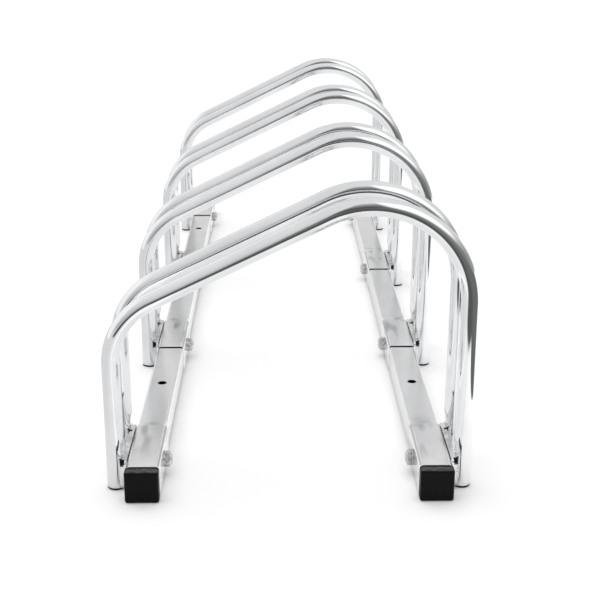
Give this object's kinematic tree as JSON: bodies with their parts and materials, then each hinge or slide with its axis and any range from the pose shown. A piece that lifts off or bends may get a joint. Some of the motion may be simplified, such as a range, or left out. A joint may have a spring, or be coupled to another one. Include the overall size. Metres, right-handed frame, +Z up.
{
  "type": "floor bike rack",
  "caption": "Bright plated floor rack for bicycles: bent round tube hoops in pairs stand across two square rails, each pair holding one wheel.",
  "frame": {"origin": "centre of the rack's footprint on the floor", "axes": "+Y runs along the rails from the open front sockets to the rear end, +X points to the high side of the hoops, +Z up"},
  "size_m": [0.3246, 1.0116, 0.2648],
  "materials": {
    "rail_zinc": "bright zinc plated, satin",
    "hoop_zinc": "bright zinc plated, mirror-like",
    "plate_zinc": "bright zinc plated over the weld beads",
    "fastener_zinc": "zinc plated",
    "cap_black": "black moulded plastic",
    "plug_black": "black moulded plastic"
  },
  "bodies": {
    "root": {"left_rail_front": "rail_zinc", "left_rail_second": "rail_zinc", "left_rail_third": "rail_zinc", "left_rail_end": "rail_zinc", "right_rail_front": "rail_zinc", "right_rail_second": "rail_zinc", "right_rail_third": "rail_zinc", "right_rail_end": "rail_zinc", "front_cap_left": "cap_black", "front_cap_right": "cap_black", "rear_cap_left": "cap_black", "rear_cap_right": "cap_black", "hoop_1_front": "hoop_zinc", "hoop_1_rear": "hoop_zinc", "hoop_2_front": "hoop_zinc", "hoop_2_rear": "hoop_zinc", "hoop_3_front": "hoop_zinc", "hoop_3_rear": "hoop_zinc", "hoop_4_front": "hoop_zinc", "hoop_4_rear": "hoop_zinc", "plate_1_left": "plate_zinc", "plate_1_right": "plate_zinc", "plate_2_left": "plate_zinc", "plate_2_right": "plate_zinc", "plate_3_left": "plate_zinc", "plate_3_right": "plate_zinc", "plate_4_left": "plate_zinc", "plate_4_right": "plate_zinc", "leg_plugs_1": "plug_black", "leg_plugs_2": "plug_black", "leg_plugs_3": "plug_black", "leg_plugs_4": "plug_black", "bolts": "fastener_zinc", "washers": "fastener_zinc", "nuts": "fastener_zinc"}
  },
  "joints": []
}
